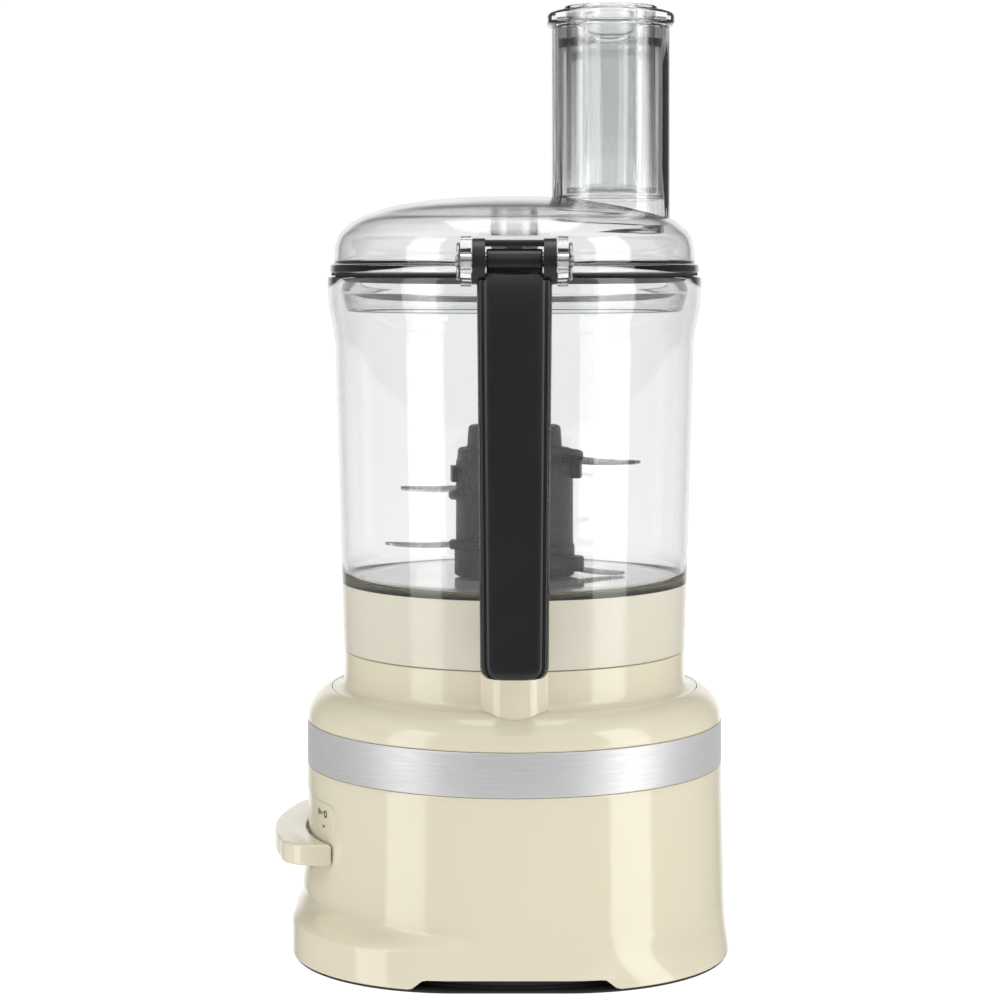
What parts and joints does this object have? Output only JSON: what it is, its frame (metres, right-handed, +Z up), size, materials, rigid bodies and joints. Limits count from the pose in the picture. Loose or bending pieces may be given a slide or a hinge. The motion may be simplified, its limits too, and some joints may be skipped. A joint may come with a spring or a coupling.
{
  "type": "food processor",
  "caption": "Countertop food processor: cream motor base with steel band, clear lidded bowl with black handle, feed tube with nested pushers and a spinning blade.",
  "frame": {"origin": "on the drive axis, on the surface that the base stands on", "axes": "+Z up along the drive axis; the handle is towards -Y, the control lever towards -X and the feed tube towards +X"},
  "size_m": [0.2106, 0.2236, 0.4375],
  "materials": {
    "cream_plastic": "smooth gloss",
    "brushed_steel": "fine brushed grain round the band",
    "dark_plastic": "fine moulded texture",
    "rubber": "matt",
    "steel": "turned",
    "motor_steel": "satin",
    "magnet": "matt",
    "cast_metal": "as cast",
    "circuit_board": "satin",
    "legend": "smooth",
    "copper": "satin",
    "white_plastic": "satin",
    "lever_plastic": "satin",
    "clear_plastic": "clear polished",
    "black_plastic": "satin",
    "hub_plastic": "fine moulded texture",
    "blade_steel": "polished"
  },
  "bodies": {
    "base": {"base_housing": "cream_plastic", "steel_band": "brushed_steel", "shoulder_cover": "cream_plastic", "bowl_seat": "cream_plastic", "bottom_plate": "dark_plastic", "foot_ring": "rubber", "base_screws": "steel", "motor_plate": "steel", "motor_can": "motor_steel", "field_magnets": "magnet", "motor_end_cap": "dark_plastic", "carbon_brushes": "magnet", "drive_belt": "rubber", "shaft_bearings": "steel", "bearing_tube": "cast_metal", "shaft_seal": "rubber", "control_board": "circuit_board", "speed_switch": "dark_plastic", "lever_bracket": "dark_plastic", "lever_pivot": "steel", "legend_plate": "legend", "cord_inlet": "rubber", "interlock_switch": "dark_plastic"},
    "motor_rotor": {"armature": "copper", "commutator": "copper", "motor_shaft": "steel", "cooling_fan": "white_plastic", "small_pulley": "steel"},
    "spindle": {"large_pulley": "dark_plastic", "drive_shaft": "steel"},
    "lever": {"control_lever": "lever_plastic"},
    "bowl": {"bowl_shell": "clear_plastic", "handle_frame": "clear_plastic", "handle_cover": "black_plastic", "handle_back": "black_plastic", "hinge_barrel": "black_plastic"},
    "interlock": {"interlock_slider": "white_plastic"},
    "lid": {"lid_shell": "clear_plastic", "feed_tube": "clear_plastic", "lid_gasket": "rubber", "hinge_yoke": "black_plastic", "hinge_pin": "steel", "hinge_clips": "steel", "latch_pin": "steel"},
    "latch": {"lid_latch": "black_plastic"},
    "outer_pusher": {"large_pusher": "clear_plastic"},
    "middle_pusher": {"medium_pusher": "clear_plastic"},
    "inner_pusher": {"small_pusher": "clear_plastic"},
    "adapter": {"drive_adapter": "white_plastic"},
    "blade": {"blade_hub": "hub_plastic", "blades": "blade_steel"}
  },
  "joints": [
    {"name": "spindle_spin", "type": "hinge", "parent": "base", "child": "spindle", "pos_m": [0, 0, 0.1], "axis": [0, 0, 1], "continuous": true},
    {"name": "motor_spin", "type": "hinge", "parent": "base", "child": "motor_rotor", "pos_m": [0.05, 0, 0.06], "axis": [0, 0, 1], "continuous": true},
    {"name": "lever_tilt", "type": "hinge", "parent": "base", "child": "lever", "pos_m": [-0.062, 0, 0.05], "axis": [0, 1, 0], "range_deg": [-6, 6]},
    {"name": "bowl_lift", "type": "slide", "parent": "base", "child": "bowl", "axis": [0, 0, 1], "range_m": [0, 0.08]},
    {"name": "interlock_slide", "type": "slide", "parent": "bowl", "child": "interlock", "axis": [0, 0, 1], "range_m": [0, 0.003]},
    {"name": "lid_hinge", "type": "hinge", "parent": "bowl", "child": "lid", "pos_m": [0, -0.113, 0.3173], "axis": [1, 0, 0], "range_deg": [0, 95]},
    {"name": "latch_hinge", "type": "hinge", "parent": "lid", "child": "latch", "pos_m": [0, 0.0925, 0.3185], "axis": [1, 0, 0], "range_deg": [0, 35]},
    {"name": "outer_pusher_lift", "type": "slide", "parent": "lid", "child": "outer_pusher", "axis": [0, 0, 1], "range_m": [0, 0.08]},
    {"name": "middle_pusher_lift", "type": "slide", "parent": "outer_pusher", "child": "middle_pusher", "axis": [0, 0, 1], "range_m": [0, 0.08]},
    {"name": "inner_pusher_lift", "type": "slide", "parent": "middle_pusher", "child": "inner_pusher", "axis": [0, 0, 1], "range_m": [0, 0.08]},
    {"name": "adapter_spin", "type": "hinge", "parent": "bowl", "child": "adapter", "pos_m": [0, 0, 0.2], "axis": [0, 0, 1], "continuous": true},
    {"name": "blade_lift", "type": "slide", "parent": "adapter", "child": "blade", "axis": [0, 0, 1], "range_m": [0, 0.07]}
  ],
  "couplings": [
    {"joint": "motor_spin", "follows": "spindle_spin", "ratio": 5.2857},
    {"joint": "adapter_spin", "follows": "spindle_spin", "ratio": 1}
  ]
}
